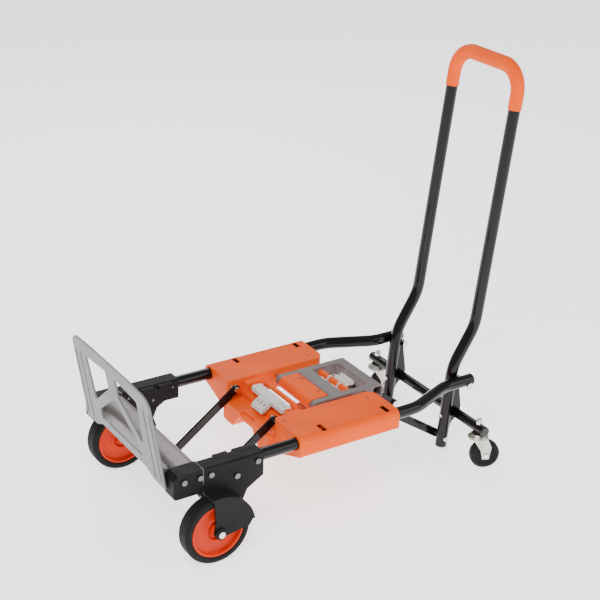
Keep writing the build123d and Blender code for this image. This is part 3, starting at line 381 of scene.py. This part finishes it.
# %% [markdown]
# ## Ribbed grip
# The grip is a soft sleeve over the bent top of the handle. It swells from its ends to the middle and
# has fine ribs across it near each bend. A ring carried along the bent path makes it: the ring's
# radius changes along the path, which a bevelled curve can only do with a taper object.

# %% Grip
handle_lean = math.radians(6.7)
handle_corner = 0.058
grip_start = 0.848
tube_radius = 0.0141
rib_pitch = 0.0055
rib_depth = 0.0008
sleeve_radius = 0.0177
end_radius = 0.0156
swell_length = 0.13
box_gap = 0.0002
ring_steps = 40


def bent_path(corners, radius, step=0.0006):
    """Points along straight runs joined by arcs, about `step` apart.

    At each corner the arc starts radius * tan(turn / 2) before it, and its points are
    centre + radius * (cos a * inward start + sin a * first direction).
    """
    corners = np.asarray(corners, dtype=float)
    stretches, here = [], corners[0]
    for before, corner, after in zip(corners[:-2], corners[1:-1], corners[2:]):
        first = (corner - before) / np.linalg.norm(corner - before)
        second = (after - corner) / np.linalg.norm(after - corner)
        turn = math.acos(float(first @ second))
        reach = radius * math.tan(turn / 2)
        inward = second - (second @ first) * first
        inward /= np.linalg.norm(inward)
        start = corner - reach * first
        count = max(2, int(np.linalg.norm(start - here) / step))
        stretches.append(here + np.linspace(0, 1, count, endpoint=False)[:, None] * (start - here))
        angle = np.linspace(0, turn, int(radius * turn / step), endpoint=False)[:, None]
        stretches.append(start + radius * (np.sin(angle) * first + (1 - np.cos(angle)) * inward))
        here = corner + reach * second
    count = max(2, int(np.linalg.norm(corners[-1] - here) / step))
    stretches.append(here + np.linspace(0, 1, count)[:, None] * (corners[-1] - here))
    return np.concatenate(stretches)


grip_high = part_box("handle_grip")[1]
top_z = grip_high.z - sleeve_radius
top_x = grip_high.x - sleeve_radius
side_y = grip_high.y - sleeve_radius
foot_x = top_x - (top_z - grip_start) * math.tan(handle_lean)
path = bent_path([(foot_x, -side_y, grip_start), (top_x, -side_y, top_z),
                  (top_x, side_y, top_z), (foot_x, side_y, grip_start)], handle_corner)
along = np.concatenate([[0.0], np.cumsum(np.linalg.norm(np.diff(path, axis=0), axis=1))])
from_end = np.minimum(along, along[-1] - along)
swell = np.clip(from_end / swell_length, 0.0, 1.0)
outer = end_radius + (sleeve_radius - box_gap - end_radius) * swell * swell * (3 - 2 * swell)
ribbed = np.clip((from_end - 0.030) / 0.008, 0, 1) * np.clip((0.120 - from_end) / 0.008, 0, 1)
outer = outer - rib_depth * ribbed * (0.5 - 0.5 * np.cos(2 * np.pi * from_end / rib_pitch))
lip = np.clip(from_end / 0.0015, 0.0, 1.0)
outer = tube_radius + (outer - tube_radius) * np.sqrt(1 - (1 - lip) ** 2) + 1e-5
across_plane = np.array([math.cos(handle_lean), 0.0, -math.sin(handle_lean)])
tangent = np.gradient(path, axis=0)
tangent /= np.linalg.norm(tangent, axis=1, keepdims=True)
beside = np.cross(np.broadcast_to(across_plane, tangent.shape), tangent)
turn = np.linspace(0, 2 * np.pi, ring_steps, endpoint=False)[None, :, None]


def ring_along(radius):
    """Path point + radius * (cos a * across_plane + sin a * beside), one ring for each path point."""
    spokes = np.cos(turn) * across_plane + np.sin(turn) * beside[:, None]
    return path[:, None] + radius[:, None, None] * spokes


inner = np.full(len(path), tube_radius)
skin = np.concatenate([ring_along(outer), ring_along(inner)[::-1]])
grip = surface_piece("ribbed_grip", skin.reshape(-1, 3), grid_faces(len(skin), ring_steps, True),
                     "grip_orange", "handle")
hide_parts("handle_grip")

# %% [markdown]
# ## Floor, light and camera
# A large pale floor, one broad soft light high on the left, a weaker one on the right and a pale sky
# keep the shadows soft. The camera stands in front and to the left, a little above the cart.

# %% Floor and backdrop
def plain_floor():
    """A level square under the cart, 60 m wide."""
    half = 30.0
    mesh = bpy.data.meshes.new("floor")
    corners = [(-half, -half, 0.0), (half, -half, 0.0), (half, half, 0.0), (-half, half, 0.0)]
    mesh.from_pydata(corners, [], [(0, 1, 2, 3)])
    floor = bpy.data.objects.new("floor", mesh)
    bpy.context.scene.collection.objects.link(floor)
    material, tree, shader = new_finish("floor_paint", specular=0.2)
    shader.inputs["Base Color"].default_value = (0.95, 0.95, 0.95, 1.0)
    shader.inputs["Roughness"].default_value = 0.8
    shader.inputs["Emission Color"].default_value = (1.0, 1.0, 1.0, 1.0)
    shader.inputs["Emission Strength"].default_value = 1.6
    mesh.materials.append(material)
    return floor


plain_floor()

sky = bpy.data.worlds.new("pale_sky")
bpy.context.scene.world = sky
sky.use_nodes = True
sky.node_tree.nodes["Background"].inputs["Color"].default_value = (0.97, 0.98, 1.0, 1.0)
sky.node_tree.nodes["Background"].inputs["Strength"].default_value = 0.50
print("floor and sky made")

# %% Lights
def soft_light(name, place, target, size, power, colour=(1.0, 1.0, 1.0)):
    """A square area light at place that faces target."""
    data = bpy.data.lights.new(name, "AREA")
    data.shape = "SQUARE"
    data.size = size
    data.energy = power
    data.color = colour
    lamp = bpy.data.objects.new(name, data)
    lamp.location = place
    lamp.rotation_euler = (Vector(target) - Vector(place)).to_track_quat("-Z", "Y").to_euler()
    bpy.context.scene.collection.objects.link(lamp)
    return lamp


soft_light("key_light", (-1.6, -1.4, 2.9), (0.0, 0.0, 0.2), 1.6, 85.0)
soft_light("fill_light", (1.8, -2.2, 1.6), (0.0, 0.0, 0.3), 2.0, 28.0)
soft_light("rim_light", (0.8, 2.6, 2.2), (0.0, 0.0, 0.4), 1.6, 36.0)
print("three lights")

# %% Camera
def aim_camera(azimuth, elevation, roll, distance, target, lens):
    """A camera that looks at target. Azimuth 0 looks along +Y; roll turns it about its own view."""
    a, e, r = (math.radians(v) for v in (azimuth, elevation, roll))
    back = Vector((math.sin(a) * math.cos(e), -math.cos(a) * math.cos(e), math.sin(e)))
    level = Vector((math.cos(a), math.sin(a), 0.0))
    upright = back.cross(level)
    right = level * math.cos(r) + upright * math.sin(r)
    up = upright * math.cos(r) - level * math.sin(r)
    data = bpy.data.cameras.new("camera")
    data.sensor_width = 36.0
    data.lens = lens
    camera = bpy.data.objects.new("camera", data)
    turn = Matrix((right, up, back)).transposed().to_4x4()
    camera.matrix_world = Matrix.Translation(Vector(target) + back * distance) @ turn
    bpy.context.scene.collection.objects.link(camera)
    bpy.context.scene.camera = camera
    return camera


camera = aim_camera(-33.45, 24.5, 1.8, 3.2517, (axle_x + 0.3475, 0.0, 0.4419), 86.54)
print("camera at", [round(v, 3) for v in camera.matrix_world.translation])
